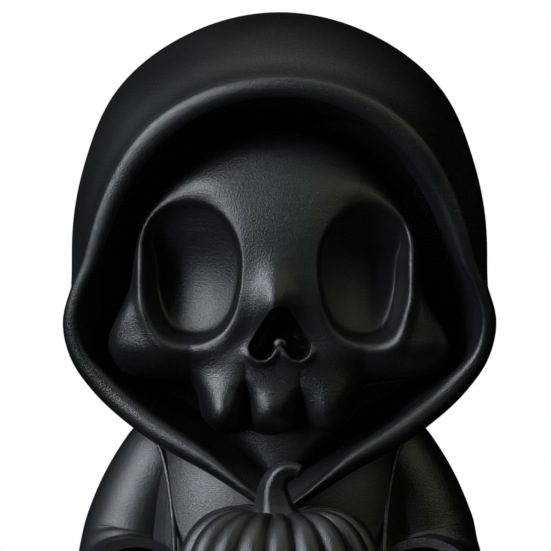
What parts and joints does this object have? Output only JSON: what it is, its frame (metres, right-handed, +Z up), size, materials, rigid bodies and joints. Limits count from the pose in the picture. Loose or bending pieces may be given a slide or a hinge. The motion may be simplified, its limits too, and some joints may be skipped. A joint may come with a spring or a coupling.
{
  "type": "grim reaper figurine",
  "caption": "Small standing grim reaper figurine with a wide hood round a skull face, a long robe on a low base, and bony hands that hold a ribbed pumpkin.",
  "frame": {"origin": "middle of the base's underside", "axes": "+Z up, the face looks along -Y, +X to the viewer's right"},
  "size_m": [0.077, 0.0886, 0.14],
  "materials": {
    "black_plastic": "matte, with a fine grain and faint horizontal layer lines"
  },
  "bodies": {
    "root": {"reaper_figurine": "black_plastic"}
  },
  "joints": []
}
